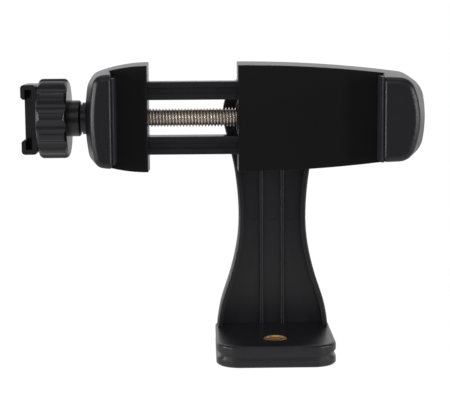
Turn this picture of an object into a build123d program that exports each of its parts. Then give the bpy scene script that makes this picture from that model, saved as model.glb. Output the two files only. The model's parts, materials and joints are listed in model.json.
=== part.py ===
from build123d import *
import math
import os

os.makedirs("parts", exist_ok=True)

# Sizes are in millimetres. X runs along the lead screw towards the fixed jaw, Y runs to the back
# and Z runs up. The origin is the mouth of the tripod thread, on the underside of the foot.

# Layout
pivot_height = 77.2        # pivot and lead screw above the underside of the foot
screw_y = 6.2              # lead screw behind the tripod thread
jaw_gap = 28.3             # opening between the two jaws as modelled
opening_travel = 8.7       # how much further the jaws open from there
closing_rest = 0.4         # gap left between the jaws when fully closed
running_fit = 0.05         # radial clearance of a turning shaft
slide_fit = 0.2            # clearance of each face of a sliding rail
seat_fit = 0.02            # clearance of a part seated for good

# Bracket foot
foot_width = 37.9
foot_front = 11.5          # tripod thread to the front edge
foot_height = 7.0
foot_corner = 7.5
foot_rear_corner = 2.5
foot_edge = 0.9            # rounding of the foot's edges
groove_height = 3.3        # centre of the groove that parts the foot in two tiers
groove_half = 1.2
groove_depth = 1.25        # depth of the groove along the foot's sides
groove_front_depth = 0.15
groove_corner = 5.6        # front corner at the bottom of the groove, which fades out round the corner

# Bracket upright
upright_front = 17.4
upright_depth = 7.0
root_half = 18.8
knee_half = 16.9           # half widths of the upright and their heights, from the foot up
knee_height = 15.45
flare_half = 14.7
flare_height = 22.2
shin_half = 12.8
shin_height = 28.9
calf_half = 11.5
calf_height = 35.6
waist_half = 10.95
waist_height = 43.9
neck_half = 12.2
neck_height = 58.8
root_slope = 0.12          # sideways run of the edge for each unit of height at the foot
disc_radius = 16.0
neck_angle = 13.6          # where the neck's edge runs into the disc, in degrees below level
recess_depth = 4.4
rim_width = 1.7
rib_spacing = 7.0
rib_width = 1.3
rib_height = 1.2
rib_edge = 0.45            # rounding along the front of each rib
upright_edge = 0.5         # bevel along the upright's edges
mark_radius = 2.1          # round marks that the ejector pins left between the ribs
mark_depth = 0.25
mark_spacing = 11.8

# Tripod thread insert
insert_radius = 4.0
tripod_bore = 2.6          # wall radius of the 1/4-20 thread at its crests
insert_mouth = 0.9         # depth of the countersink on the foot's top face
insert_waist = 0.3         # depth of the ring groove that holds the insert in the foot

# Pivot
boss_radius = 6.0
disc_web = 2.6             # thickness of the disc that is held between the washers
pivot_gap = 1.0            # fixed jaw's back to the disc's front
liner_thickness = 0.8
liner_radius = 13.0
spring_height = 0.9
spring_thickness = 0.35
spring_radius = 9.0
keeper_thickness = 0.9
keeper_radius = 9.2
pivot_screw_radius = 2.0
pivot_head_radius = 4.0
pivot_head_height = 1.5
pivot_insert_radius = 2.9
pivot_insert_length = 6.0
cap_well_radius = 9.8
cap_flange_radius = 11.5
cap_flange = 0.9
cap_plug = 0.8

# Jaws, shared
shell_front = -1.0         # front face of both jaw mouldings, which carries the pads
shell_split = 8.0          # parting plane between front and rear mouldings
pad_thickness = 1.2
pad_inset = 0.3            # pad's edge inside the moulding's edge
pad_edge = 0.25
hook_height = 10.0         # hook in front of the pad's face
hook_edge = 0.8            # rounding of the hook's inner edge
hook_round = 2.0           # rounding of the hook's other front edges
hook_lean = 0.6            # how far the hook's inner face leans over the phone
hook_pad_root = 1.5        # thickness of the hook's pad at the bottom of the hook
hook_pad_tip = 0.8
hook_pad_half = 13.1
hook_pad_short = 1.0       # how far the hook's pad stays below the tip
shell_draft = 0.8          # how much smaller the mouldings are at the front
back_edge = 1.8
wall = 2.0

# Fixed jaw
body_left = 11.5           # pivot to the face that meets the moving jaw
body_end = 47.6            # pivot to the far end
body_half = 17.4
body_arch = 387.0          # radius of the long top and bottom edges
body_end_arch = 38.0
body_corner = 8.0
body_hook = 33.4           # pivot to the foot of the hook's inner face
body_tip_end = 43.5        # pivot to the end of the hook's front face
body_tip_half = 12.9
body_tip_arch = 120.0
body_tip_end_arch = 26.0
body_tip_corner = 4.5
cover_screw_left = 8.3
cover_screw_left_half = 14.4
cover_screw_right = 43.2
cover_screw_right_half = 6.5

# Moving jaw
jaw_length = 20.1
jaw_half = 17.4
jaw_arch = 48.0
jaw_end_arch = 64.0
jaw_corner = 5.0
jaw_hook = 11.1            # inner end of the jaw to the foot of the hook's inner face
jaw_tip_length = 16.9      # inner end of the jaw to the end of the hook's front face
jaw_tip_half = 14.3
jaw_tip_arch = 34.0
jaw_tip_end_arch = 60.0
jaw_tip_corner = 3.0
jaw_boss_radius = 5.05
jaw_boss_length = 0.5
jaw_screw_inner = 4.7      # inner end of the jaw to its first pair of screws
jaw_screw_inner_half = 14.4
jaw_screw_outer = 17.0
jaw_screw_outer_half = 8.0

# Rails and their end plate
rail_inner = 5.75
rail_outer = 11.45
rail_depth = 8.0
rail_groove = 2.1
rail_groove_depth = 1.6
rail_root = 14.2           # how far the rails reach into the moving jaw
rail_end = 8.0             # pivot to the rails' far end as modelled
rail_edge = 0.35
plate_thickness = 3.0
plate_screw_y = 1.5        # plate screws behind the lead screw
plate_screw_radius = 0.9
plate_head_radius = 1.8
plate_head_height = 1.1

# Lead screw, nut and knob
screw_radius = 3.0
screw_past_plate = 0.4
nut_flats = 10.0
nut_length = 5.0
nut_nose_radius = 4.6
nut_nose_wall = 2.0        # wall between the nut's hexagon and the jaw's face
nut_nose_proud = 0.4
clip_radius = 4.8
clip_thickness = 0.8
clip_groove_radius = 2.3
clip_mouth = 3.4
clip_place = 11.9          # inner end of the moving jaw to the clip's pocket
clip_play = 0.05
washer_thickness = 0.6
washer_radius = 4.4
collar_radius = 5.7
collar_length = 3.7
collar_edge = 0.5
knob_radius = 12.55
knob_length = 9.4
knob_edge = 1.5
lobe_count = 12
lobe_phase = 6.5           # angle of the first lobe above level, in degrees
flute_radius = 3.0
flute_centre = 14.6
flute_edge = 1.5
drive_flats = 9.6
drive_length = 4.0

# Shoe
shoe_gap = 0.3
shoe_base = 1.5
shoe_slot = 2.1
shoe_lip = 1.3
shoe_slot_width = 18.8
shoe_opening = 12.6
shoe_wall = 1.5
shoe_depth = 12.0
shoe_corner = 1.1
lip_chamfer = 0.7
shoe_stop = 1.8
spigot_radius = 5.7
spigot_length = 1.3
shoe_washer_thickness = 0.3
shoe_washer_radius = 5.3
shoe_screw_radius = 2.0
shoe_head_radius = 3.7
shoe_screw_grip = 5.5      # length of the shoe's screw inside the lead screw

# Small screws that hold the rear mouldings
cover_screw_radius = 1.0
cover_head_radius = 2.0
cover_head_height = 1.3
cover_head_sink = 1.6
cover_screw_bite = 6.0     # length of thread past the parting plane

# Places worked out from the sizes
upright_back = upright_front + upright_depth
body_back = upright_front - pivot_gap
pad_front = shell_front - pad_thickness
hook_front = pad_front - hook_height
closing_travel = jaw_gap - closing_rest
jaw_face = -body_left - jaw_gap
jaw_end = jaw_face - jaw_length
jaw_boss_end = jaw_end - jaw_boss_length
collar_end = jaw_boss_end - washer_thickness
knob_right = collar_end - collar_length
knob_left = knob_right - knob_length
shoe_right = knob_left - shoe_gap
slot_floor = shoe_right - shoe_base
lip_inner = slot_floor - shoe_slot
shoe_left = lip_inner - shoe_lip
spigot_end = shoe_right + spigot_length
drive_left = spigot_end + shoe_washer_thickness
drive_right = drive_left + drive_length
rail_front = screw_y - rail_depth / 2
rail_back = screw_y + rail_depth / 2
plate_end = rail_end + plate_thickness
screw_end = plate_end + screw_past_plate
travel_start = rail_end - opening_travel
travel_end = plate_end + closing_travel + plate_head_height + slide_fit
nut_left = -body_left + nut_nose_wall
nut_right = nut_left + nut_length
clip_left = jaw_face - clip_place + clip_play
disc_back_web = upright_front + disc_web
boss_end = disc_back_web + spring_height
keeper_back = boss_end + keeper_thickness
CENTRED_BASE = (Align.CENTER, Align.CENTER, Align.MIN)


def front_plane(y):
    """A plane that faces the viewer, with x along X and y along Z."""
    return Plane(origin=(0, y, 0), x_dir=(1, 0, 0), z_dir=(0, -1, 0))


def bar(x, y, z):
    """A block given by its lower and upper limit on each axis."""
    size = [high - low for low, high in (x, y, z)]
    middle = [(high + low) / 2 for low, high in (x, y, z)]
    return Pos(*middle) * Box(*size)


def rod_x(left, right, radius, y=screw_y, z=pivot_height):
    return Plane(origin=(left, y, z), z_dir=(1, 0, 0)) * Cylinder(radius, right - left, align=CENTRED_BASE)


def rod_y(front, back, radius, x=0.0, z=pivot_height):
    return Plane(origin=(x, front, z), z_dir=(0, 1, 0)) * Cylinder(radius, back - front, align=CENTRED_BASE)


def rod_z(bottom, top, radius):
    return Pos(0, 0, bottom) * Cylinder(radius, top - bottom, align=CENTRED_BASE)


def hexagon_x(left, right, flats):
    """A hexagonal bar on the lead screw's axis, with corners above and below."""
    outline = RegularPolygon(flats / 2, 6, major_radius=False, rotation=30)
    section = Plane(origin=(left, screw_y, pivot_height), x_dir=(0, 1, 0), z_dir=(1, 0, 0)) * outline
    return extrude(section, amount=right - left)


def above_and_below(piece):
    """A piece and its mirror image below the lead screw."""
    return piece + mirror(piece, about=Plane.XY.offset(pivot_height))


def edges_on(piece, axis, value):
    """Edges that lie wholly in the plane where one coordinate has the given value."""
    near = 1e-4
    found = ShapeList()
    for edge in piece.edges():
        box = edge.bounding_box()
        low, high = getattr(box.min, axis), getattr(box.max, axis)
        if abs(low - value) < near and abs(high - value) < near:
            found.append(edge)
    return found


# Bracket

def foot_face(side, end, corner):
    """The foot's outline in the XY plane, smaller by given amounts at its sides and its ends."""
    front = -foot_front + end
    back = upright_back - end
    width = foot_width - 2 * side
    plate = Pos(0, (front + back) / 2) * Rectangle(width, back - front)
    corners = plate.vertices().sort_by(Axis.Y)
    plate = fillet(corners[:2], corner)
    rear = plate.vertices().sort_by(Axis.Y)[-2:]
    return fillet(rear, foot_rear_corner - end)


def foot():
    """Two tiers with a groove between them that is deep along the sides and faint in front."""
    low = groove_height - groove_half
    high = groove_height + groove_half
    rim = foot_face(0, 0, foot_corner)
    lower = extrude(rim, amount=low)
    upper = Pos(0, 0, high) * extrude(rim, amount=foot_height - high)
    waist = Pos(0, 0, groove_height) * foot_face(groove_depth, groove_front_depth, groove_corner)
    flank_low = loft([Pos(0, 0, low) * rim, waist])
    flank_high = loft([waist, Pos(0, 0, high) * rim])
    plate = lower + flank_low + flank_high + upper
    plate = fillet(edges_on(plate, "Z", foot_height), foot_edge)
    return chamfer(edges_on(plate, "Z", 0), foot_edge / 2)


def upright_face(inset):
    """The upright's outline, smaller by the inset: waisted sides below a round disc."""
    radius = disc_radius - inset
    angle = math.radians(neck_angle)
    touch = (radius * math.cos(angle), pivot_height - radius * math.sin(angle))
    widths = [(root_half, groove_height), (knee_half, knee_height), (flare_half, flare_height),
              (shin_half, shin_height), (calf_half, calf_height), (waist_half, waist_height),
              (neck_half, neck_height)]
    side = [(half - inset, z) for half, z in widths] + [touch]
    other = [(-x, z) for x, z in side]
    ends = [(-root_slope, 1), (math.sin(angle), math.cos(angle))]
    other_ends = [(-x, z) for x, z in ends]
    right = Spline(*side, tangents=ends)
    left = Spline(*other, tangents=other_ends)
    top = Line(side[-1], other[-1])
    bottom = Line(side[0], other[0])
    return make_face([right, top, left, bottom]) + Pos(0, pivot_height) * Circle(radius)


def upright():
    """The upright with its raised rims, two ribs and the disc that carries the clamp."""
    full = upright_face(0)
    small = upright_face(upright_edge)
    front = upright_front + upright_edge
    back = upright_back - upright_edge
    plate = extrude(front_plane(back) * full, amount=back - front)
    plate += loft([front_plane(upright_front) * small, front_plane(front) * full])
    plate += loft([front_plane(back) * full, front_plane(upright_back) * small])
    floor_y = upright_front + recess_depth
    hollow_face = upright_face(rim_width) - Pos(0, pivot_height) * Circle(disc_radius)
    hollow = extrude(front_plane(floor_y) * hollow_face, amount=recess_depth)
    hollow -= bar((-foot_width, foot_width), (upright_front - 1, upright_back), (0, foot_height))
    plate -= hollow
    ribs = Part()
    for x in (-rib_spacing / 2, rib_spacing / 2):
        front = floor_y - rib_height
        rib = bar((x - rib_width / 2, x + rib_width / 2), (front, floor_y + 1), (groove_height, pivot_height))
        ribs += fillet(edges_on(rib, "Y", front).filter_by(Axis.Z), rib_edge)
    plate += ribs & hollow
    for x in (-mark_spacing / 2, 0, mark_spacing / 2):
        plate -= rod_y(floor_y - mark_depth, floor_y + mark_depth, mark_radius, x, waist_height)
    return plate


def bracket():
    piece = foot() + upright()
    piece -= rod_z(-1, foot_height + 1, insert_radius + seat_fit)
    piece -= rod_y(upright_front - 1, upright_back + 1, boss_radius + running_fit)
    piece -= rod_y(disc_back_web, upright_back + 1, cap_well_radius)
    return piece


def thread_insert():
    """Brass bush with the tripod thread, countersunk where it shows on the foot."""
    bush = rod_z(0, foot_height, insert_radius)
    bush -= rod_z(-1, foot_height + 1, tripod_bore)
    cone = Cone(tripod_bore, tripod_bore + insert_mouth, insert_mouth, align=CENTRED_BASE)
    bush -= Pos(0, 0, foot_height - insert_mouth) * cone
    middle = foot_height / 2
    ring = rod_z(middle - groove_half / 2, middle + groove_half / 2, insert_radius + 1)
    return bush - (ring - rod_z(0, foot_height, insert_radius - insert_waist))


def pivot_liner():
    """Slippery washer between the fixed jaw's back and the disc."""
    front = body_back + (pivot_gap - liner_thickness) / 2
    back = front + liner_thickness
    return rod_y(front, back, liner_radius) - rod_y(front - 1, back + 1, boss_radius + slide_fit)


def pivot_spring():
    """Conical spring washer that presses the disc forward."""
    inner = boss_radius + slide_fit
    rise = spring_height - spring_thickness
    low, high = disc_back_web, disc_back_web + rise
    profile = Polyline((spring_radius, low), (spring_radius, low + spring_thickness),
                       (inner, high + spring_thickness), (inner, high), close=True)
    ring = revolve(make_face(profile), axis=Axis.Y)
    return Pos(0, 0, pivot_height) * ring


def pivot_keeper():
    """Flat washer screwed to the end of the pivot boss."""
    ring = rod_y(boss_end, keeper_back, keeper_radius)
    return ring - rod_y(boss_end - 1, keeper_back + 1, pivot_screw_radius + running_fit)


def pivot_screw():
    """Low pan-head screw with a cross recess, driven into the boss from behind."""
    tip = boss_end - pivot_insert_length + running_fit
    head_back = keeper_back + pivot_head_height
    head = rod_y(keeper_back, head_back, pivot_head_radius)
    head = fillet(edges_on(head, "Y", head_back), pivot_head_height * 0.45)
    screw = head + rod_y(tip, keeper_back, pivot_screw_radius)
    screw = chamfer(edges_on(screw, "Y", tip), pivot_screw_radius * 0.25)
    arm = pivot_head_radius * 0.55
    slot = pivot_head_radius * 0.14
    sink = (keeper_back + pivot_head_height * 0.4, head_back + 1)
    for x, z in ((arm, slot), (slot, arm)):
        screw -= bar((-x, x), sink, (pivot_height - z, pivot_height + z))
    return screw


def pivot_insert():
    """Brass bush moulded into the pivot boss."""
    front = boss_end - pivot_insert_length
    bush = rod_y(front, boss_end, pivot_insert_radius)
    return bush - rod_y(front - 1, boss_end + 1, pivot_screw_radius + seat_fit)


def pivot_cap():
    """Snap-in cap over the pivot's washers at the back of the disc."""
    flange = rod_y(upright_back, upright_back + cap_flange, cap_flange_radius)
    flange = fillet(edges_on(flange, "Y", upright_back + cap_flange), cap_flange * 0.8)
    plug_radius = cap_well_radius - running_fit
    plug = rod_y(upright_back - cap_plug, upright_back, plug_radius)
    plug -= rod_y(upright_back - cap_plug - 1, upright_back, plug_radius - cap_plug)
    return flange + plug


# Jaw mouldings

def jaw_face_outline(flat, end, half, arch, end_arch, corner):
    """A jaw's outline from the front: one flat side, arched top, bottom and end, round corners."""
    way = 1 if end > flat else -1
    upper = Pos(flat, half - arch) * Circle(arch)
    lower = Pos(flat, arch - half) * Circle(arch)
    far = Pos(end - way * end_arch, 0) * Circle(end_arch)
    room = Pos((flat + end) / 2, 0) * Rectangle(abs(end - flat), 4 * half)
    outline = upper & lower & far & room
    corners = outline.vertices().sort_by(Axis.X)
    corners = corners[-2:] if way > 0 else corners[:2]
    return Pos(0, pivot_height) * fillet(corners, corner)


def body_outline(inset):
    return jaw_face_outline(-body_left, body_end - inset, body_half - inset,
                            body_arch, body_end_arch, body_corner)


def jaw_outline(inset):
    return jaw_face_outline(jaw_face, jaw_end + inset, jaw_half - inset,
                            jaw_arch, jaw_end_arch, jaw_corner)


def side_of(x, way):
    """The half plane to the right of x, or to the left when way is negative."""
    reach = 200.0
    return Pos(x + way * reach / 2, pivot_height) * Rectangle(reach, reach)


def hook(outline, root, way, tip_end, tip_half, tip_arch, tip_end_arch, tip_corner):
    """The hook: a block that grows smaller towards its rounded tip and leans over the phone."""
    tip_root = root - way * hook_lean
    tip = jaw_face_outline(tip_root, tip_end, tip_half, tip_arch, tip_end_arch, tip_corner)
    base = outline & side_of(root, way)
    block = loft([front_plane(shell_front) * base, front_plane(hook_front) * tip])
    outer = [edge for edge in edges_on(block, "Y", hook_front) if abs(edge.center().X - tip_root) >= 1e-3]
    block = fillet(outer, hook_round)
    inner = [edge for edge in edges_on(block, "Y", hook_front) if abs(edge.center().X - tip_root) < 1e-3]
    return fillet(inner, hook_edge)


def shell_block(outline_back, outline_front):
    """A jaw's outer form without its hook, with drafted sides and rounded back edges."""
    block = loft([front_plane(body_back) * outline_back, front_plane(shell_front) * outline_front])
    back = fillet(edges_on(block, "Y", body_back), back_edge)
    return back


def screw_points(pairs):
    """Places of screws that come in pairs above and below the lead screw."""
    return [(x, pivot_height + way * z) for x, z in pairs for way in (1, -1)]


body_screw_points = screw_points([(-cover_screw_left, cover_screw_left_half),
                                  (cover_screw_right, cover_screw_right_half)])
jaw_screw_points = screw_points([(jaw_face - jaw_screw_inner, jaw_screw_inner_half),
                                 (jaw_face - jaw_screw_outer, jaw_screw_outer_half)])


def screw_holes(points):
    """Clearance hole, thread hole and countersunk seat for each of a jaw's small screws."""
    holes = Part()
    seat = body_back - cover_head_sink - cover_head_height
    for x, z in points:
        holes += rod_y(shell_split - cover_screw_bite - 1, body_back + 1, cover_screw_radius + seat_fit, x, z)
        holes += rod_y(seat, body_back + 1, cover_head_radius + slide_fit, x, z)
    return holes


def small_screws(points):
    """The screws themselves, each with a cross recess in its head."""
    screws = []
    seat = body_back - cover_head_sink - cover_head_height
    top = seat + cover_head_height
    arm = cover_head_radius * 0.6
    slot = cover_head_radius * 0.16
    for x, z in points:
        head = rod_y(seat, top, cover_head_radius, x, z)
        head = fillet(edges_on(head, "Y", top), cover_head_height * 0.4)
        screw = head + rod_y(shell_split - cover_screw_bite, seat, cover_screw_radius, x, z)
        for dx, dz in ((arm, slot), (slot, arm)):
            recess = (top - cover_head_height * 0.6, top + 1)
            screw -= bar((x - dx, x + dx), recess, (z - dz, z + dz))
        screws.append(screw)
    return Compound(children=[screw.solid() for screw in screws])


def rail_section(left, right, clearance):
    """Both rails as plain bars, larger on every side by the clearance."""
    upper = (pivot_height + rail_inner - clearance, pivot_height + rail_outer + clearance)
    return above_and_below(bar((left, right), (rail_front - clearance, rail_back + clearance), upper))


def body_voids():
    """Everything that the fixed jaw's mouldings leave room for."""
    low = pivot_height - rail_outer - slide_fit
    high = pivot_height + rail_outer + slide_fit
    room = (rail_front - slide_fit, rail_back + slide_fit)
    voids = rail_section(-body_left - 1, travel_start, slide_fit)
    voids += bar((travel_start, travel_end), room, (low, high))
    voids += rod_x(nut_right - 1, travel_start + 1, screw_radius + slide_fit * 3)
    voids += hexagon_x(nut_left, nut_right, nut_flats + 2 * seat_fit)
    voids += rod_x(-body_left - 1, nut_left + 1, nut_nose_radius + seat_fit)
    deep = (room[1] - 1, body_back - wall)
    start = liner_radius - wall
    rib = (rail_inner + wall, rail_outer - wall)
    voids += bar((start, travel_end), deep, (pivot_height - rib[0], pivot_height + rib[0]))
    voids += above_and_below(bar((start, travel_end), deep, (pivot_height + rib[1], high)))
    hook_core = bar((body_hook + wall, travel_end), (hook_front + wall, room[0] + 1),
                    (pivot_height - hook_pad_half + 2 * wall, pivot_height + hook_pad_half - 2 * wall))
    return voids + hook_core


def body_front():
    """Front moulding of the fixed jaw, with its hook."""
    block = shell_block(body_outline(0), body_outline(shell_draft))
    piece = block & bar((-200, 200), (shell_front - 1, shell_split), (0, 200))
    piece += hook(body_outline(shell_draft), body_hook, 1, body_tip_end, body_tip_half,
                  body_tip_arch, body_tip_end_arch, body_tip_corner)
    return piece - body_voids() - screw_holes(body_screw_points)


def body_rear():
    """Rear moulding of the fixed jaw, with the boss that turns in the bracket's disc."""
    block = shell_block(body_outline(0), body_outline(shell_draft))
    piece = block & bar((-200, 200), (shell_split, body_back + 1), (0, 200))
    piece = piece - body_voids() - screw_holes(body_screw_points)
    piece += rod_y(body_back - wall, boss_end, boss_radius)
    return piece - rod_y(boss_end - pivot_insert_length, boss_end + 1, pivot_insert_radius + seat_fit)


def flat_pad(outline, start, stop):
    """A rubber sheet on a jaw's front face, between two places along X."""
    face = outline & side_of(start, 1) & side_of(stop, -1)
    sheet = extrude(front_plane(shell_front) * face, amount=pad_thickness)
    return fillet(edges_on(sheet, "Y", pad_front), pad_edge)


def body_pad():
    return flat_pad(body_outline(shell_draft + pad_inset), -body_left + pad_inset, body_hook - pad_inset)


def jaw_pad():
    hook_root = jaw_face - jaw_hook
    return flat_pad(jaw_outline(shell_draft + pad_inset), hook_root + pad_inset, jaw_face - pad_inset)


def hook_pad(root, way):
    """A rubber strip on the hook's inner face, thicker at its foot."""
    tip_y = hook_front + hook_pad_short
    slope = hook_lean / (shell_front - hook_front)
    back_root = root - way * slope * (shell_front - pad_front)
    back_tip = root - way * slope * (shell_front - tip_y)
    outline = Polyline((back_root, pad_front), (back_tip, tip_y), (back_tip - way * hook_pad_tip, tip_y),
                       (back_root - way * hook_pad_root, pad_front), close=True)
    strip = extrude(make_face(outline), amount=2 * hook_pad_half)
    strip = Pos(0, 0, pivot_height - hook_pad_half) * strip
    return fillet(edges_on(strip, "Y", tip_y).group_by(SortBy.LENGTH)[-1], hook_pad_tip * 0.3)


def lead_nut():
    """Threaded bush held between the fixed jaw's mouldings, its nose in the face."""
    nut = hexagon_x(nut_left, nut_right, nut_flats)
    nut += rod_x(-body_left - nut_nose_proud, nut_left, nut_nose_radius)
    nut = chamfer(edges_on(nut, "X", -body_left - nut_nose_proud), nut_nose_proud / 2)
    return nut - rod_x(-body_left - 1, nut_right + 1, screw_radius + running_fit)


def jaw_voids():
    """Everything that the moving jaw's mouldings leave room for, apart from the rails."""
    voids = rod_x(jaw_boss_end - 1, jaw_face + 1, screw_radius + running_fit)
    pocket_half = rail_inner - slide_fit - seat_fit
    deep = (shell_front + wall, body_back - wall)
    heights = (pivot_height - pocket_half, pivot_height + pocket_half)
    clip_right = jaw_face - clip_place + clip_thickness + 3 * clip_play
    pocket = bar((jaw_face - clip_place, clip_right), deep, heights)
    lighter = bar((clip_right + wall / 2, jaw_face - wall), deep, heights)
    return voids + pocket + lighter


def jaw_block():
    block = shell_block(jaw_outline(0), jaw_outline(shell_draft))
    return block + rod_x(jaw_boss_end, jaw_end + wall, jaw_boss_radius)


def jaw_front():
    """Front moulding of the moving jaw, with its hook."""
    piece = jaw_block() & bar((-200, 200), (shell_front - 1, shell_split), (0, 200))
    piece += hook(jaw_outline(shell_draft), jaw_face - jaw_hook, -1, jaw_face - jaw_tip_length,
                  jaw_tip_half, jaw_tip_arch, jaw_tip_end_arch, jaw_tip_corner)
    piece -= rail_section(jaw_face - rail_root - seat_fit, jaw_face + 1, seat_fit)
    return piece - jaw_voids() - screw_holes(jaw_screw_points)


def jaw_carriage():
    """Rear moulding of the moving jaw, in one piece with the two rails."""
    piece = jaw_block() & bar((-200, 200), (shell_split, body_back + 1), (0, 200))
    piece = piece - jaw_voids() - screw_holes(jaw_screw_points)
    rail = bar((jaw_face - rail_root, rail_end), (rail_front, rail_back),
               (pivot_height + rail_inner, pivot_height + rail_outer))
    rail = fillet(rail.edges().filter_by(Axis.X), rail_edge)
    middle = pivot_height + (rail_inner + rail_outer) / 2
    groove = (middle - rail_groove / 2, middle + rail_groove / 2)
    rail -= bar((jaw_face - rail_root + wall, rail_end - wall),
                (rail_front - 1, rail_front + rail_groove_depth), groove)
    rail -= rod_x(rail_end - plate_thickness, rail_end + 1, plate_screw_radius + seat_fit,
                  screw_y + plate_screw_y, middle)
    return piece + above_and_below(rail)


def rail_plate():
    """Plate that ties the rails' far ends and stops the jaw from pulling out."""
    plate = bar((rail_end, plate_end), (rail_front + slide_fit, rail_back - slide_fit),
                (pivot_height - rail_outer, pivot_height + rail_outer))
    plate = fillet(plate.edges().filter_by(Axis.X), rail_edge * 3)
    plate -= rod_x(rail_end - 1, plate_end + 1, screw_radius + slide_fit)
    middle = pivot_height + (rail_inner + rail_outer) / 2
    hole = rod_x(rail_end - 1, plate_end + 1, plate_screw_radius + seat_fit, screw_y + plate_screw_y, middle)
    return plate - above_and_below(hole)


def plate_screws():
    middle = (rail_inner + rail_outer) / 2
    screws = []
    for z in (pivot_height + middle, pivot_height - middle):
        y = screw_y + plate_screw_y
        head = rod_x(plate_end, plate_end + plate_head_height, plate_head_radius, y, z)
        head = fillet(edges_on(head, "X", plate_end + plate_head_height), plate_head_height * 0.4)
        tip = rail_end - plate_thickness + seat_fit
        screws.append(head + rod_x(tip, plate_end, plate_screw_radius, y, z))
    return Compound(children=[screw.solid() for screw in screws])


# Lead screw, knob and shoe

def lead_screw():
    """Threaded rod with a hexagonal head in the knob, a clip groove and a tapped end."""
    screw = rod_x(drive_right, screw_end, screw_radius)
    screw = chamfer(edges_on(screw, "X", screw_end), screw_radius * 0.2)
    screw += hexagon_x(drive_left, drive_right, drive_flats)
    groove = rod_x(clip_left, clip_left + clip_thickness, screw_radius + 1)
    groove -= rod_x(clip_left, clip_left + clip_thickness, clip_groove_radius)
    screw -= groove
    return screw - rod_x(drive_left - 1, slot_floor + shoe_thread_reach(), shoe_screw_radius + seat_fit)


def shoe_thread_reach():
    """Depth of the tapped hole's bottom below the shoe's floor."""
    return drive_left - slot_floor + shoe_screw_grip + 2 * running_fit


def screw_clip():
    """Open clip in the lead screw's groove that keeps it in the moving jaw."""
    ring = rod_x(clip_left, clip_left + clip_thickness, clip_radius)
    ring -= rod_x(clip_left - 1, clip_left + clip_thickness + 1, clip_groove_radius + seat_fit)
    mouth = bar((clip_left - 1, clip_left + clip_thickness + 1), (screw_y, screw_y + clip_radius * 2),
                (pivot_height - clip_mouth / 2, pivot_height + clip_mouth / 2))
    return ring - mouth


def thrust_washer():
    """Washer between the knob's collar and the boss on the moving jaw."""
    washer = rod_x(collar_end, jaw_boss_end - seat_fit, washer_radius)
    return washer - rod_x(collar_end - 1, jaw_boss_end + 1, screw_radius + running_fit)


def knob():
    """Lobed hand knob with its collar, hollowed for the screw's head and the shoe's spigot."""
    section = Circle(knob_radius)
    step = 360 / lobe_count
    for index in range(lobe_count):
        angle = math.radians(lobe_phase + (index + 0.5) * step)
        place = Pos(flute_centre * math.cos(angle), flute_centre * math.sin(angle))
        section -= place * Circle(flute_radius)
    section = fillet(section.vertices(), flute_edge)
    # Local x points to the viewer here, so that the first lobe sits just above level at the front.
    plane = Plane(origin=(knob_right, screw_y, pivot_height), x_dir=(0, -1, 0), z_dir=(-1, 0, 0))
    body = extrude(plane * section, amount=knob_length)
    barrel = rod_x(knob_left, knob_right, knob_radius)
    ends = edges_on(barrel, "X", knob_left) + edges_on(barrel, "X", knob_right)
    body = body & fillet(ends, knob_edge)
    collar = rod_x(knob_right - knob_edge, collar_end, collar_radius)
    body += chamfer(edges_on(collar, "X", collar_end), collar_edge)
    body -= rod_x(knob_left - 1, drive_left, spigot_radius + running_fit)
    body -= hexagon_x(drive_left - 1, drive_right, drive_flats + 2 * seat_fit)
    return body - rod_x(drive_right - 1, collar_end + 1, screw_radius + seat_fit)


def shoe():
    """Accessory shoe: a slotted channel with a stop at the back and a spigot into the knob."""
    half = shoe_slot_width / 2 + shoe_wall
    front = screw_y - shoe_depth / 2
    back = screw_y + shoe_depth / 2
    block = bar((shoe_left, shoe_right), (front, back), (pivot_height - half, pivot_height + half))
    block = fillet(block.edges().filter_by(Axis.Y), shoe_corner)
    slot_half = shoe_slot_width / 2
    block -= bar((lip_inner, slot_floor), (front - 1, back - shoe_stop),
                 (pivot_height - slot_half, pivot_height + slot_half))
    gap_half = shoe_opening / 2
    block -= bar((shoe_left - 1, lip_inner), (front - 1, back - shoe_stop),
                 (pivot_height - gap_half, pivot_height + gap_half))
    lips = []
    for edge in edges_on(block, "X", shoe_left):
        if abs(abs(edge.center().Z - pivot_height) - gap_half) < 1e-3:
            lips.append(edge)
    block = chamfer(lips, lip_chamfer)
    block += rod_x(shoe_right, spigot_end, spigot_radius)
    return block - shoe_screw_form(running_fit)


def shoe_screw_form(clearance):
    """Countersunk screw in the shoe's floor, larger by the clearance."""
    head = shoe_head_radius + clearance
    shank = shoe_screw_radius + clearance
    cone = Cone(head, shank, head - shank, align=CENTRED_BASE)
    form = Plane(origin=(slot_floor, screw_y, pivot_height), z_dir=(1, 0, 0)) * cone
    return form + rod_x(slot_floor, drive_left + shoe_screw_grip, shank)


def shoe_screw():
    screw = shoe_screw_form(0)
    arm = shoe_head_radius * 0.5
    slot = shoe_head_radius * 0.13
    sink = (slot_floor - 1, slot_floor + shoe_head_radius * 0.3)
    for y, z in ((arm, slot), (slot, arm)):
        screw -= bar(sink, (screw_y - y, screw_y + y), (pivot_height - z, pivot_height + z))
    return screw


def shoe_washer():
    """Thin spring washer that steadies the shoe on the screw's head."""
    ring = rod_x(spigot_end, drive_left, shoe_washer_radius)
    return ring - rod_x(spigot_end - 1, drive_left + 1, shoe_screw_radius + slide_fit)


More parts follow.
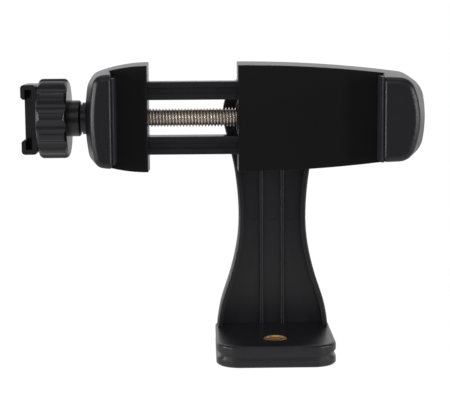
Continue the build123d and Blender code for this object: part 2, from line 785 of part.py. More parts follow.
pieces = {
    "bracket": bracket,
    "thread_insert": thread_insert,
    "pivot_liner": pivot_liner,
    "pivot_spring": pivot_spring,
    "pivot_keeper": pivot_keeper,
    "pivot_screw": pivot_screw,
    "pivot_insert": pivot_insert,
    "pivot_cap": pivot_cap,
    "body_front": body_front,
    "body_rear": body_rear,
    "body_pad": body_pad,
    "body_hook_pad": lambda: hook_pad(body_hook, 1),
    "body_screws": lambda: small_screws(body_screw_points),
    "lead_nut": lead_nut,
    "jaw_front": jaw_front,
    "jaw_carriage": jaw_carriage,
    "jaw_pad": jaw_pad,
    "jaw_hook_pad": lambda: hook_pad(jaw_face - jaw_hook, -1),
    "jaw_screws": lambda: small_screws(jaw_screw_points),
    "rail_plate": rail_plate,
    "plate_screws": plate_screws,
    "lead_screw": lead_screw,
    "screw_clip": screw_clip,
    "thrust_washer": thrust_washer,
    "knob": knob,
    "shoe": shoe,
    "shoe_screw": shoe_screw,
    "shoe_washer": shoe_washer,
}

for name, make in pieces.items():
    export_step(make(), f"parts/{name}.step")
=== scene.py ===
import json
import math

import bmesh
import bpy
from mathutils import Euler, Matrix, Vector


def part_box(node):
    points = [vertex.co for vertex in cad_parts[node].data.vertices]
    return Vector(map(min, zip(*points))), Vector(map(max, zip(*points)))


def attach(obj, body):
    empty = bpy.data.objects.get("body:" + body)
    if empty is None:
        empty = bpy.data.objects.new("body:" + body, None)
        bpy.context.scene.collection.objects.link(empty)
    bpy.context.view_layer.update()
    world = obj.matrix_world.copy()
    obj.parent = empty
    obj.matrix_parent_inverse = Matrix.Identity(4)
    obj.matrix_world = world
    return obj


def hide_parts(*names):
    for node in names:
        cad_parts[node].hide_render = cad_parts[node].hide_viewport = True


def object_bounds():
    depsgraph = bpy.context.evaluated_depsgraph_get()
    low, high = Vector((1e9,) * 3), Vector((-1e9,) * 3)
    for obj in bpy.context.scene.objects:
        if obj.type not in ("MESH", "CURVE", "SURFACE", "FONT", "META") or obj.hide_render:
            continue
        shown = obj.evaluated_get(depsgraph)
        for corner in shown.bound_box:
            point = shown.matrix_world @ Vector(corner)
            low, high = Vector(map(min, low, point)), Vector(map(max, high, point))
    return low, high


bl_info = {
    "name": "Phone clamp dressing",
    "version": (1, 0, 0),
    "blender": (4, 5, 0),
    "location": "View3D > Sidebar > Clamp",
    "description": "Adds the fine pieces, finishes and studio of a phone clamp for tripods",
    "category": "Object",
}

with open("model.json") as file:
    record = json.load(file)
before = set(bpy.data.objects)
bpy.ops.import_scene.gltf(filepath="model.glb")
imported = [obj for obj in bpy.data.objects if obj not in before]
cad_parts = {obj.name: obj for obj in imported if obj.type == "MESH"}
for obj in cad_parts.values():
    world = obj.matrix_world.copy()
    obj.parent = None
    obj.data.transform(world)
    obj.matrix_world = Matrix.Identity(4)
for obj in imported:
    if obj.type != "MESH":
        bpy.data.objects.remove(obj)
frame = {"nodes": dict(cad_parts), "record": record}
CAD_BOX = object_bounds()
MM = 0.001
NEAR = 0.001 * MM       # two places this close are the same
FILM_WIDTH = 36.0       # width of the picture that the lens's focal length is for

# A Mix node's two colour inputs and its colour output
MIX_A, MIX_B, MIX_COLOUR = 6, 7, 2


# Settings

class ThreadSettings(bpy.types.PropertyGroup):
    """Sizes of the lead screw's thread and of the tripod thread"""
    crest: bpy.props.FloatProperty(
        name="Crest radius", description="Outer radius of the lead screw's thread",
        default=2.98 * MM, unit="LENGTH")
    root: bpy.props.FloatProperty(
        name="Root radius", description="Radius at the bottom of the lead screw's thread",
        default=2.4 * MM, unit="LENGTH")
    pitch: bpy.props.FloatProperty(
        name="Pitch", description="Distance between two turns of the lead screw's thread",
        default=1.0 * MM, unit="LENGTH")
    tripod_crest: bpy.props.FloatProperty(
        name="Tripod thread crest", description="Inner radius of the thread in the foot",
        default=2.6 * MM, unit="LENGTH")
    tripod_root: bpy.props.FloatProperty(
        name="Tripod thread root", description="Radius of the bush behind the thread in the foot",
        default=3.15 * MM, unit="LENGTH")
    tripod_pitch: bpy.props.FloatProperty(
        name="Tripod pitch", description="Distance between two turns of the thread in the foot",
        default=1.27 * MM, unit="LENGTH")
    steps: bpy.props.IntProperty(
        name="Steps", description="Faces round one turn of a thread", default=40, min=8)


class PadSettings(bpy.types.PropertyGroup):
    """Shape of the rubber sheets and strips"""
    body_arch: bpy.props.FloatProperty(
        name="Fixed jaw arch", description="Radius of the fixed jaw's long edges",
        default=387.0 * MM, unit="LENGTH")
    jaw_arch: bpy.props.FloatProperty(
        name="Moving jaw arch", description="Radius of the moving jaw's top and bottom edges",
        default=48.0 * MM, unit="LENGTH")
    rounding: bpy.props.FloatProperty(
        name="Edge rounding", description="Rounding of the pads' front edges",
        default=0.3 * MM, unit="LENGTH")
    columns: bpy.props.IntProperty(
        name="Columns", description="Strips that a pad's arched edge is divided in", default=24, min=4)


class FinishSettings(bpy.types.PropertyGroup):
    """Colours of the finishes"""
    plastic: bpy.props.FloatVectorProperty(
        name="Plastic", description="Colour of the black mouldings", subtype="COLOR",
        default=(0.0092, 0.0091, 0.0112))
    knob: bpy.props.FloatVectorProperty(
        name="Knob plastic", description="Colour of the knob", subtype="COLOR",
        default=(0.0090, 0.0090, 0.0110))
    rubber: bpy.props.FloatVectorProperty(
        name="Rubber", description="Colour of the pads", subtype="COLOR",
        default=(0.0102, 0.0101, 0.0106))
    steel: bpy.props.FloatVectorProperty(
        name="Stainless steel", description="Colour of the lead screw", subtype="COLOR",
        default=(1.0, 0.91, 0.81))
    brass: bpy.props.FloatVectorProperty(
        name="Brass", description="Colour of the threaded bushes", subtype="COLOR",
        default=(0.96, 0.62, 0.28))


class StageSettings(bpy.types.PropertyGroup):
    """Where the camera stands and how it looks"""
    distance: bpy.props.FloatProperty(
        name="Distance", description="From the camera to the point it looks at",
        default=0.418, unit="LENGTH")
    target: bpy.props.FloatVectorProperty(
        name="Target", description="Point in the middle of the picture", subtype="XYZ",
        default=(-0.0159, -0.0053, 0.0505))
    yaw: bpy.props.FloatProperty(
        name="Yaw", description="Turn of the camera to the side",
        default=math.radians(0.95), subtype="ANGLE")
    pitch: bpy.props.FloatProperty(
        name="Pitch", description="How far the camera looks down",
        default=math.radians(7.8), subtype="ANGLE")
    roll: bpy.props.FloatProperty(
        name="Roll", description="Tilt of the picture", default=math.radians(0.4), subtype="ANGLE")
    lens: bpy.props.FloatProperty(
        name="Lens", description="Focal length for a 36 mm wide picture", default=107.45)


class ClampSettings(bpy.types.PropertyGroup):
    """All settings of the dressing"""
    thread: bpy.props.PointerProperty(type=ThreadSettings)
    pads: bpy.props.PointerProperty(type=PadSettings)
    finish: bpy.props.PointerProperty(type=FinishSettings)
    stage: bpy.props.PointerProperty(type=StageSettings)


def settings():
    """The settings that the panel shows."""
    return bpy.context.scene.clamp_dressing


# Shader maths

class Flow:
    """A socket that takes part in sums and products as a plain value does."""

    def __init__(self, finish, socket):
        self.finish = finish
        self.socket = socket

    def _maths(self, operation, other):
        return self.finish.node("ShaderNodeMath", {"operation": operation}, {0: self, 1: other})

    def __add__(self, other):
        return self._maths("ADD", other)

    def __mul__(self, other):
        return self._maths("MULTIPLY", other)


class Finish:
    """A procedural material with one surface shader, built node by node."""

    def __init__(self, name):
        self.material = bpy.data.materials.new(name)
        self.material.use_nodes = True
        self.tree = self.material.node_tree
        self.tree.nodes.clear()
        self.output = self.tree.nodes.new("ShaderNodeOutputMaterial")

    def node(self, kind, options=None, values=None, out=0):
        """Adds a node, sets its options, then its sockets, and returns one of its outputs."""
        made = self.tree.nodes.new(kind)
        for key, value in (options or {}).items():
            if key == "stops":
                for element, (place, colour) in zip(made.color_ramp.elements, value):
                    element.position = place
                    element.color = colour
            else:
                setattr(made, key, value)
        for key, value in (values or {}).items():
            if isinstance(value, Flow):
                self.tree.links.new(value.socket, made.inputs[key])
            else:
                made.inputs[key].default_value = value
        return Flow(self, made.outputs[out])

    def place(self):
        """Where a point lies on the piece itself, whatever pose the piece is in."""
        return self.node("ShaderNodeTexCoord", out="Object")

    def noise(self, scale, detail, roughness):
        """Cloudy values around 0.5, finer with a larger scale."""
        values = {"Vector": self.place(), "Scale": scale, "Detail": detail, "Roughness": roughness}
        return self.node("ShaderNodeTexNoise", None, values, "Fac")

    def between(self, low, high, factor):
        """A number between two limits, nearer the high one as the factor nears 1."""
        return factor * (high - low) + low

    def tint(self, dark, light, factor):
        """A colour between two, nearer the light one as the factor nears 1."""
        values = {"Factor": factor, MIX_A: (*dark, 1.0), MIX_B: (*light, 1.0)}
        return self.node("ShaderNodeMix", {"data_type": "RGBA"}, values, MIX_COLOUR)

    def bump(self, height, distance, strength=1.0, normal=None):
        """A surface that seems raised by the height, on top of another bump if one is given."""
        values = {"Height": height, "Distance": distance, "Strength": strength}
        if normal:
            values["Normal"] = normal
        return self.node("ShaderNodeBump", None, values, "Normal")

    def surface(self, values):
        """Ends the material with its surface shader and returns it."""
        shader = self.node("ShaderNodeBsdfPrincipled", None, values)
        self.tree.links.new(shader.socket, self.output.inputs["Surface"])
        return self.material


def shade(colour, amount):
    """The colour made darker or lighter, at most to full strength."""
    return tuple(min(1.0, part * amount) for part in colour)


def moulded_plastic(name, colour, low, high, grain):
    """Black moulded plastic with a fine eroded grain and faint flow marks."""
    finish = Finish(name)
    fine = finish.noise(5200.0, 3.0, 0.6)
    broad = finish.noise(55.0, 3.0, 0.55)
    cloud = finish.noise(420.0, 2.0, 0.5)
    mark = broad * 0.6 + cloud * 0.4
    normal = finish.bump(fine, 0.00002 * grain)
    normal = finish.bump(broad, 0.00006, 0.5, normal)
    return finish.surface({
        "Base Color": finish.tint(shade(colour, 0.8), shade(colour, 1.25), mark),
        "Roughness": finish.between(low, high, mark),
        "Normal": normal,
        "Specular IOR Level": 0.5,
    })


def matt_rubber(name, colour):
    """Deep black rubber with a very fine tooth and a little brown dust."""
    finish = Finish(name)
    fine = finish.noise(7000.0, 2.0, 0.7)
    patch = finish.noise(160.0, 4.0, 0.6)
    speck = finish.node("ShaderNodeValToRGB", {"stops": [(0.56, (0, 0, 0, 1)), (0.72, (1, 1, 1, 1))]},
                        {0: finish.noise(900.0, 3.0, 0.7)})
    dust = patch * 0.7 + speck * 0.3
    dusty = tuple(part * gain for part, gain in zip(colour, (1.35, 1.25, 1.22)))
    return finish.surface({
        "Base Color": finish.tint(shade(colour, 0.8), dusty, dust),
        "Roughness": finish.between(0.78, 0.92, patch),
        "Normal": finish.bump(fine, 0.00003),
        "Specular IOR Level": 0.15,
    })


def plain_metal(name, colour, low, high):
    """Bare metal with fine marks and a faint stain."""
    finish = Finish(name)
    lines = finish.noise(2600.0, 3.0, 0.6)
    stain = finish.noise(240.0, 3.0, 0.5)
    return finish.surface({
        "Base Color": finish.tint(shade(colour, 0.78), shade(colour, 1.08), stain),
        "Metallic": 1.0,
        "Roughness": finish.between(low, high, lines * 0.6 + stain * 0.4),
        "Normal": finish.bump(lines, 0.000012),
    })


def thread_metal(name, colour, node, across, root, crest, smooth, dull):
    """Bright metal with painted shade: darker and rougher at the root radius, where the thread's hollows
    lie in shade, and lighter beyond it, with a faint stain.

    The radius is measured from the node's middle, along the axes that across names with a 1.
    """
    low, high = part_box(node)
    middle = (low + high) / 2
    start = tuple(-part * keep for part, keep in zip(middle, across))
    finish = Finish(name)
    flat = finish.node("ShaderNodeMapping", None,
                       {"Vector": finish.place(), "Location": start, "Scale": across})
    radius = finish.node("ShaderNodeVectorMath", {"operation": "LENGTH"}, {0: flat}, "Value")
    # Painted shade: the colour darkens from here down to the root radius, standing in for the shade in the
    # thread's hollows; the stain noise mixed in below is a real stain.
    root_shade_end = root + (crest - root) * 0.55
    root_shade_fade = finish.node("ShaderNodeMapRange", {"interpolation_type": "SMOOTHSTEP"}, {
        "Value": radius, "From Min": root, "From Max": root_shade_end, "To Min": 0.0, "To Max": 1.0})
    stain = finish.noise(240.0, 3.0, 0.5)
    marks = finish.noise(3000.0, 3.0, 0.6)
    crest_light_and_stain = root_shade_fade * finish.between(0.85, 1.0, stain)
    return finish.surface({
        "Base Color": finish.tint(shade(colour, 0.34), colour, crest_light_and_stain),
        "Metallic": 0.85,
        "Roughness": finish.between(dull, smooth, crest_light_and_stain),
        "Normal": finish.bump(marks, 0.00001),
    })


def slippery_plastic(name):
    """Black washer plastic, a little waxy."""
    finish = Finish(name)
    patch = finish.noise(300.0, 3.0, 0.5)
    fine = finish.noise(4200.0, 2.0, 0.6)
    return finish.surface({
        "Base Color": finish.tint((0.010, 0.010, 0.011), (0.015, 0.015, 0.016), patch),
        "Roughness": finish.between(0.4, 0.55, patch),
        "Normal": finish.bump(fine, 0.00001),
    })


FINISHES = {}


def finish_for(slot):
    """The material of one of the record's slots, made when it is first asked for."""
    colours = settings().finish
    thread = settings().thread
    makers = {
        "black_plastic": lambda: moulded_plastic("Black plastic", colours.plastic, 0.3, 0.37, 0.45),
        "knob_plastic": lambda: moulded_plastic("Knob plastic", colours.knob, 0.24, 0.33, 0.35),
        "black_rubber": lambda: matt_rubber("Black rubber", colours.rubber),
        "smooth_rubber": lambda: moulded_plastic("Smooth rubber", shade(colours.plastic, 3.0),
                                                 0.3, 0.42, 0.4),
        # Painted shade in the lead screw's thread roots.
        "stainless": lambda: thread_metal("Stainless steel", colours.steel, "lead_screw", (0, 1, 1),
                                          thread.root, thread.crest, 0.24, 0.5),
        "spring_steel": lambda: plain_metal("Spring steel", (0.42, 0.42, 0.44), 0.25, 0.4),
        "zinc_steel": lambda: plain_metal("Zinc-plated steel", (0.56, 0.57, 0.6), 0.22, 0.38),
        # Painted shade inside the tripod bush's bore, darker towards the thread's inner radius.
        "brass": lambda: thread_metal("Brass", colours.brass, "thread_insert", (1, 1, 0),
                                      thread.tripod_crest, thread.tripod_root + 0.25 * MM, 0.3, 0.5),
        "black_nylon": lambda: slippery_plastic("Black nylon"),
    }
    if slot not in FINISHES:
        FINISHES[slot] = makers[slot]()
    return FINISHES[slot]


# Modelling helpers

def start_piece():
    """Leaves nothing selected, so that what follows works only on the new piece."""
    bpy.ops.object.select_all(action="DESELECT")


def pick(test, kind="verts"):
    """Selects the vertices or edges of the piece in edit mode that pass the test."""
    bpy.ops.mesh.select_mode(type={"verts": "VERT", "edges": "EDGE"}[kind])
    bpy.ops.mesh.select_all(action="DESELECT")
    mesh = bmesh.from_edit_mesh(bpy.context.object.data)
    for part in getattr(mesh, kind):
        if test(part):
            part.select_set(True)
    mesh.select_flush_mode()
    bmesh.update_edit_mesh(bpy.context.object.data)


def settle(piece, name, slot, body, node, angle):
    """Names and finishes a piece, lets it ride its body and take its node's place."""
    bpy.ops.object.mode_set(mode="OBJECT")
    bpy.ops.object.transform_apply(location=True, rotation=True, scale=True)
    bpy.ops.object.shade_smooth_by_angle(angle=math.radians(angle))
    piece.name = name
    piece.data.name = name
    piece.data.materials.clear()
    piece.data.materials.append(finish_for(slot))
    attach(piece, body)
    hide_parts(node)


def edit_tidily(close=False):
    """Merges what meets and turns the faces outwards, and can close the open ends first."""
    bpy.ops.object.mode_set(mode="EDIT")
    tidy_normals()
    if close:
        pick(lambda edge: edge.is_boundary, "edges")
        bpy.ops.mesh.edge_face_add()
        tidy_normals()
    bpy.ops.object.mode_set(mode="OBJECT")


def join(first, second):
    """Makes one piece of two, under the first one's name."""
    second.select_set(True)
    first.select_set(True)
    bpy.context.view_layer.objects.active = first
    bpy.ops.object.join()
    return first


def profile_piece(points):
    """A piece that is only a line through the points, ready to be swept."""
    start_piece()
    bpy.ops.mesh.primitive_plane_add(size=MM, location=(0, 0, 0))
    piece = bpy.context.object
    bpy.ops.object.mode_set(mode="EDIT")
    bpy.ops.mesh.select_mode(type="VERT")
    bpy.ops.mesh.select_all(action="SELECT")
    bpy.ops.mesh.merge(type="CENTER")
    bpy.ops.transform.translate(value=points[0])
    for before, after in zip(points, points[1:]):
        step = Vector(after) - Vector(before)
        bpy.ops.mesh.extrude_region_move(TRANSFORM_OT_translate={"value": step})
    bpy.ops.object.mode_set(mode="OBJECT")
    return piece


def sweep_turns(piece, axis, pitch, turns, steps):
    """Sweeps the line round an axis, going on by one pitch with each turn."""
    screw = piece.modifiers.new("Turns", "SCREW")
    screw.axis = axis
    screw.angle = math.tau
    screw.screw_offset = pitch
    screw.iterations = turns
    screw.steps = steps
    screw.render_steps = steps
    screw.use_merge_vertices = True
    screw.merge_threshold = NEAR
    bpy.ops.object.modifier_apply(modifier=screw.name)


def tidy_normals():
    """Merges doubled vertices and turns all faces outwards."""
    bpy.ops.mesh.select_all(action="SELECT")
    bpy.ops.mesh.remove_doubles(threshold=2 * NEAR)
    bpy.ops.mesh.normals_make_consistent(inside=False)


# Operators

class CLAMP_OT_finishes(bpy.types.Operator):
    """Gives every node of the solid model its procedural finish"""
    bl_idname = "clamp.finishes"
    bl_label = "Finish the solids"

    def execute(self, context):
        for entry in frame["record"]["subparts"]:
            node = frame["nodes"][entry["node"]]
            node.data.materials.clear()
            node.data.materials.append(finish_for(entry["material_slot"]))
        return {"FINISHED"}


class CLAMP_OT_lead_screw(bpy.types.Operator):
    """Models the steel lead screw with its rolled thread, plain neck and head"""
    bl_idname = "clamp.lead_screw"
    bl_label = "Lead screw"

    def execute(self, context):
        sizes = settings().thread
        low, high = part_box("lead_screw")
        clip_low, clip_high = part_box("screw_clip")
        centre_y = (low.y + high.y) / 2
        centre_z = (low.z + high.z) / 2
        thread_gap = 0.2 * MM
        start = clip_high.x + thread_gap
        pitch, root, crest = sizes.pitch, sizes.root, sizes.crest
        spare_turns = 2     # one before the start and one past the end, cut off below
        turns = math.ceil((high.x - start) / pitch) + spare_turns
        outline = [(0.0, root), (0.10, root), (0.44, crest), (0.56, crest), (0.90, root), (1.0, root)]
        piece = profile_piece([(start - pitch + along * pitch, 0.0, radius) for along, radius in outline])
        sweep_turns(piece, "X", pitch, turns, sizes.steps)
        bpy.ops.object.mode_set(mode="EDIT")
        tidy_normals()
        for place, keep in ((start, 1), (high.x, -1)):
            bpy.ops.mesh.select_all(action="SELECT")
            bpy.ops.mesh.bisect(
                plane_co=(place, 0, 0), plane_no=(-keep, 0, 0), use_fill=True, clear_outer=True)
        tidy_normals()
        bpy.ops.object.mode_set(mode="OBJECT")
        piece.location = (0, centre_y, centre_z)
        bpy.ops.object.transform_apply(location=True, rotation=True, scale=True)
        join(piece, self.neck(low, high, start, clip_low.x, clip_high.x, centre_y, centre_z))
        settle(piece, "lead_screw_threaded", "stainless", "hand_knob", "lead_screw", angle=28)
        return {"FINISHED"}

    def neck(self, low, high, start, clip_left, clip_right, centre_y, centre_z):
        """The plain part in the moving jaw, with the clip's groove and the head in the knob."""
        head_length, head_bevel, overlap, groove_depth = 4.0 * MM, 0.3 * MM, 0.2 * MM, 0.7 * MM
        head_right = low.x + head_length
        start_piece()
        bpy.ops.mesh.primitive_cylinder_add(
            vertices=6, radius=(high.z - low.z) / 2, depth=head_right - low.x,
            location=((low.x + head_right) / 2, centre_y, centre_z), rotation=(0, math.pi / 2, 0))
        head = bpy.context.object
        bpy.ops.object.transform_apply(location=True, rotation=True, scale=True)
        bpy.ops.object.mode_set(mode="EDIT")
        bpy.ops.mesh.select_all(action="SELECT")
        half_side = math.pi / 6
        bpy.ops.transform.rotate(
            value=half_side, orient_axis="X", center_override=(0, centre_y, centre_z))
        bpy.ops.mesh.bevel(offset=head_bevel, segments=2)
        bpy.ops.object.mode_set(mode="OBJECT")
        radius = settings().thread.crest
        groove = radius - groove_depth
        stations = [(head_right - overlap, radius), (clip_left, radius), (clip_left, groove),
                    (clip_right, groove), (clip_right, radius), (start, radius)]
        shank = profile_piece([(x, 0.0, r) for x, r in stations])
        sweep_turns(shank, "X", 0.0, 1, settings().thread.steps)
        shank.location = (0, centre_y, centre_z)
        bpy.ops.object.transform_apply(location=True, rotation=True, scale=True)
        edit_tidily(close=True)
        return join(shank, head)


class CLAMP_OT_thread_insert(bpy.types.Operator):
    """Models the brass bush in the foot with its inner thread"""
    bl_idname = "clamp.thread_insert"
    bl_label = "Tripod thread bush"

    def execute(self, context):
        sizes = settings().thread
        low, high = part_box("thread_insert")
        outer = (high.x - low.x) / 2
        inner = sizes.tripod_root
        crest = sizes.tripod_crest
        pitch = sizes.tripod_pitch
        lip, edge, lead_in, sunk = 0.8 * MM, 0.15 * MM, 0.3 * MM, 0.1 * MM
        faces_round = 64
        mouth = outer - lip
        throat = high.z - mouth + crest
        first = low.z + lead_in
        ring = [(inner, first), (inner + lead_in, low.z), (outer - edge, low.z), (outer, low.z + edge),
                (outer, high.z - 3.0 * edge), (outer - 0.8 * edge, high.z - 1.2 * edge),
                (outer - 2.0 * edge, high.z - 0.35 * edge), (outer - 3.4 * edge, high.z),
                (mouth, high.z), (crest, throat), (inner, throat - inner + crest), (inner, first)]
        piece = profile_piece([(r, 0.0, z) for r, z in ring])
        sweep_turns(piece, "Z", 0.0, 1, faces_round)
        edit_tidily()
        turns = int((throat - first) / pitch) - 1
        foot = inner + sunk
        ridge = [(foot, 0.0), (crest, 0.42), (crest, 0.58), (foot, 1.0), (foot, 0.0)]
        thread = profile_piece([(r, 0.0, first + along * pitch) for r, along in ridge])
        sweep_turns(thread, "Z", pitch, turns, faces_round)
        edit_tidily(close=True)
        join(piece, thread)
        settle(piece, "thread_insert_turned", "brass", "bracket", "thread_insert", angle=40)
        return {"FINISHED"}


class CLAMP_OT_face_pads(bpy.types.Operator):
    """Models the two rubber sheets on the jaws' faces"""
    bl_idname = "clamp.face_pads"
    bl_label = "Face pads"

    def execute(self, context):
        pads = settings().pads
        self.sheet("body_pad", "body_pad_rubber", "head", pads.body_arch, 1)
        self.sheet("jaw_pad", "jaw_pad_rubber", "moving_jaw", pads.jaw_arch, -1)
        return {"FINISHED"}

    def sheet(self, node, name, body, arch, way):
        """A flat sheet whose top and bottom edges close in along an arc from its inner end."""
        pads = settings().pads
        low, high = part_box(node)
        middle = (low + high) / 2
        start_piece()
        bpy.ops.mesh.primitive_cube_add(size=1.0, location=middle, scale=high - low)
        piece = bpy.context.object
        bpy.ops.object.transform_apply(location=True, rotation=True, scale=True)
        bpy.ops.object.mode_set(mode="EDIT")
        width = high.x - low.x
        for index in range(1, pads.columns):
            bpy.ops.mesh.select_all(action="SELECT")
            place = low.x + width * index / pads.columns
            bpy.ops.mesh.bisect(plane_co=(place, 0, 0), plane_no=(1, 0, 0))
        inner = low.x if way > 0 else high.x
        for index in range(1, pads.columns + 1):
            run = width * index / pads.columns
            place = inner + way * run
            drop = arch - math.sqrt(arch * arch - run * run)
            for side in (1, -1):
                pick(lambda v: abs(v.co.x - place) < NEAR and (v.co.z - middle.z) * side > 0)
                bpy.ops.transform.translate(value=(0, 0, -side * drop))
        pick(lambda edge: all(v.co.y < middle.y for v in edge.verts)
             and (all(abs(v.co.x - low.x) < NEAR for v in edge.verts)
                  or all(abs(v.co.x - high.x) < NEAR for v in edge.verts)
                  or abs(edge.verts[0].co.x - edge.verts[1].co.x) > NEAR), "edges")
        bpy.ops.mesh.bevel(offset=pads.rounding, segments=3)
        settle(piece, name, "black_rubber", body, node, angle=50)


class CLAMP_OT_hook_pads(bpy.types.Operator):
    """Models the rubber strips inside the two hooks"""
    bl_idname = "clamp.hook_pads"
    bl_label = "Hook pads"

    def execute(self, context):
        self.strip("body_hook_pad", "body_hook_pad_rubber", "head", 1)
        self.strip("jaw_hook_pad", "jaw_hook_pad_rubber", "moving_jaw", -1)
        return {"FINISHED"}

    def strip(self, node, name, body, way):
        """A strip that is thicker at its foot and follows the hook's leaning face."""
        pads = settings().pads
        low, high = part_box(node)
        middle = (low + high) / 2
        lean, root, tip, softer = 0.48 * MM, 1.5 * MM, 0.8 * MM, 0.8
        start_piece()
        bpy.ops.mesh.primitive_cube_add(size=1.0, location=middle, scale=high - low)
        piece = bpy.context.object
        bpy.ops.object.transform_apply(location=True, rotation=True, scale=True)
        bpy.ops.object.mode_set(mode="EDIT")
        outer = high.x if way > 0 else low.x
        pick(lambda v: v.co.y < middle.y and abs(v.co.x - outer) < NEAR)
        bpy.ops.transform.translate(value=(-way * lean, 0, 0))
        pick(lambda v: v.co.y < middle.y and abs(v.co.x - outer) > MM)
        bpy.ops.transform.translate(value=(way * (root - tip - lean), 0, 0))
        pick(lambda edge: all(v.co.y < middle.y for v in edge.verts), "edges")
        bpy.ops.mesh.bevel(offset=pads.rounding * softer, segments=3)
        settle(piece, name, "smooth_rubber", body, node, angle=50)


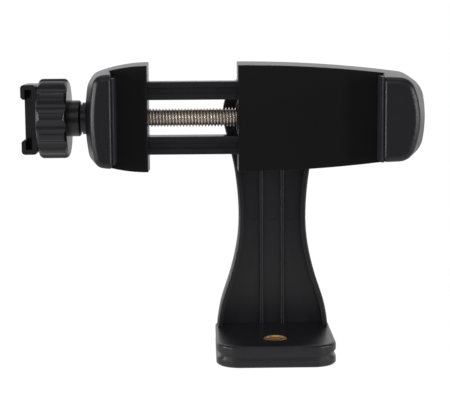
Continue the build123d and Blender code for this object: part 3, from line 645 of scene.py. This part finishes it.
class CLAMP_OT_stage(bpy.types.Operator):
    """Sets up the pale studio, its lights and the camera"""
    bl_idname = "clamp.stage"
    bl_label = "Studio and camera"

    def execute(self, context):
        ground = CAD_BOX[0].z - 0.02 * MM
        width, depth, height, back = 3.0, 1.35, 1.6, 1.2
        self.sheet("studio_floor", (width, depth), (0, back - depth / 2, ground), 0.0, 0.55)
        self.sheet("studio_backdrop", (width, height), (0, back, ground + height / 2), math.pi / 2, 0.9)
        self.lights()
        self.sky(context)
        self.camera(context)
        context.scene.view_settings.view_transform = "Standard"
        return {"FINISHED"}

    def sheet(self, name, size, place, turn, mirrored):
        """A sheet that is white to the camera, glows in reflections and is grey to all other rays."""
        start_piece()
        bpy.ops.mesh.primitive_plane_add(size=1.0, location=place, rotation=(turn, 0, 0))
        piece = bpy.context.object
        piece.scale = (*size, 1.0)
        bpy.ops.object.transform_apply(location=True, rotation=True, scale=True)
        piece.name = name
        finish = Finish(name)
        grey = finish.node("ShaderNodeBsdfDiffuse", None, {"Color": (0.45, 0.45, 0.45, 1.0)})
        glow = finish.node("ShaderNodeEmission", None, {"Color": (1.0, 1.0, 1.0, 1.0), "Strength": 1.06})
        path = finish.tree.nodes.new("ShaderNodeLightPath")
        by_camera, through_glass, in_gloss = (
            Flow(finish, path.outputs["Is %s Ray" % kind]) for kind in ("Camera", "Transmission", "Glossy"))
        seen = (by_camera + through_glass) * 0.95 + in_gloss * mirrored
        mixed = finish.node("ShaderNodeMixShader", None, {0: seen, 1: grey, 2: glow})
        finish.tree.links.new(mixed.socket, finish.output.inputs["Surface"])
        piece.data.materials.append(finish.material)

    def lights(self):
        """Area lamps, each with its place, the point it faces, its two sides and its power."""
        lamps = [
            ("overhead_softbox", (0.0, -0.02, 0.60), (0.0, 0.0, 0.07), 0.60, 0.30, 0.3),
            ("left_softbox", (-0.60, -0.10, 0.14), (-0.02, 0.0, 0.05), 0.16, 0.28, 1.2),
            ("right_softbox", (0.60, -0.16, 0.14), (0.0, 0.0, 0.05), 0.16, 0.28, 0.8),
            ("left_front_strip", (-0.51, -0.42, 0.10), (0.0, 0.0, 0.05), 0.09, 0.22, 0.85),
            ("right_front_strip", (0.50, -0.43, 0.10), (0.0, 0.0, 0.05), 0.09, 0.22, 0.85),
            ("front_softbox", (-0.02, -0.74, 0.42), (-0.02, 0.0, 0.06), 0.50, 0.42, 0.45),
        ]
        for name, place, aim, width, height, power in lamps:
            lamp = bpy.data.lights.new(name, "AREA")
            lamp.shape = "RECTANGLE"
            lamp.size, lamp.size_y, lamp.energy = width, height, power
            holder = bpy.data.objects.new(name, lamp)
            bpy.context.scene.collection.objects.link(holder)
            holder.location = place
            way = Vector(aim) - Vector(place)
            holder.rotation_euler = way.to_track_quat("-Z", "Y").to_euler()

    def sky(self, context):
        """White where the camera sees it, and a weak cool light everywhere else."""
        world = bpy.data.worlds.new("Studio sky")
        context.scene.world = world
        world.use_nodes = True
        tree = world.node_tree
        tree.nodes.clear()
        out = tree.nodes.new("ShaderNodeOutputWorld")
        seen_sky = tree.nodes.new("ShaderNodeBackground")
        seen_sky.inputs["Color"].default_value = (1, 1, 1, 1)
        seen_sky.inputs["Strength"].default_value = 1.0
        soft_sky = tree.nodes.new("ShaderNodeBackground")
        soft_sky.inputs["Color"].default_value = (0.95, 0.96, 1.0, 1)
        soft_sky.inputs["Strength"].default_value = 0.22
        path = tree.nodes.new("ShaderNodeLightPath")
        mix = tree.nodes.new("ShaderNodeMixShader")
        tree.links.new(path.outputs["Is Camera Ray"], mix.inputs[0])
        tree.links.new(soft_sky.outputs[0], mix.inputs[1])
        tree.links.new(seen_sky.outputs[0], mix.inputs[2])
        tree.links.new(mix.outputs[0], out.inputs["Surface"])

    def camera(self, context):
        """The camera at the photo's angle."""
        stage = settings().stage
        data = bpy.data.cameras.new("Camera")
        data.lens = stage.lens
        data.sensor_width = FILM_WIDTH
        data.clip_start = 0.01
        camera = bpy.data.objects.new("Camera", data)
        context.scene.collection.objects.link(camera)
        way = Vector((math.sin(stage.yaw) * math.cos(stage.pitch),
                      math.cos(stage.yaw) * math.cos(stage.pitch), -math.sin(stage.pitch)))
        camera.location = Vector(stage.target) - way * stage.distance
        turn = Euler((math.pi / 2 - stage.pitch, 0.0, -stage.yaw)).to_matrix()
        roll = Matrix.Rotation(-stage.roll, 3, "Z")
        camera.rotation_euler = (turn @ roll).to_euler()
        context.scene.camera = camera


class CLAMP_PT_panel(bpy.types.Panel):
    """Lists the steps of the dressing"""
    bl_idname = "CLAMP_PT_panel"
    bl_label = "Phone clamp"
    bl_space_type = "VIEW_3D"
    bl_region_type = "UI"
    bl_category = "Clamp"

    def draw(self, context):
        for step in STEPS:
            self.layout.operator(step.bl_idname)
        for group in (settings().thread, settings().pads, settings().finish, settings().stage):
            box = self.layout.box()
            for name in group.__annotations__:
                box.prop(group, name)


STEPS = (CLAMP_OT_finishes, CLAMP_OT_lead_screw, CLAMP_OT_thread_insert, CLAMP_OT_face_pads,
         CLAMP_OT_hook_pads, CLAMP_OT_stage)
CLASSES = (ThreadSettings, PadSettings, FinishSettings, StageSettings, ClampSettings,
           *STEPS, CLAMP_PT_panel)


def register():
    for cls in CLASSES:
        bpy.utils.register_class(cls)
    bpy.types.Scene.clamp_dressing = bpy.props.PointerProperty(type=ClampSettings)


def unregister():
    del bpy.types.Scene.clamp_dressing
    for cls in reversed(CLASSES):
        bpy.utils.unregister_class(cls)


def main():
    register()
    bpy.ops.clamp.finishes()
    bpy.ops.clamp.lead_screw()
    bpy.ops.clamp.thread_insert()
    bpy.ops.clamp.face_pads()
    bpy.ops.clamp.hook_pads()
    bpy.ops.clamp.stage()


if __name__ == "__main__":
    main()
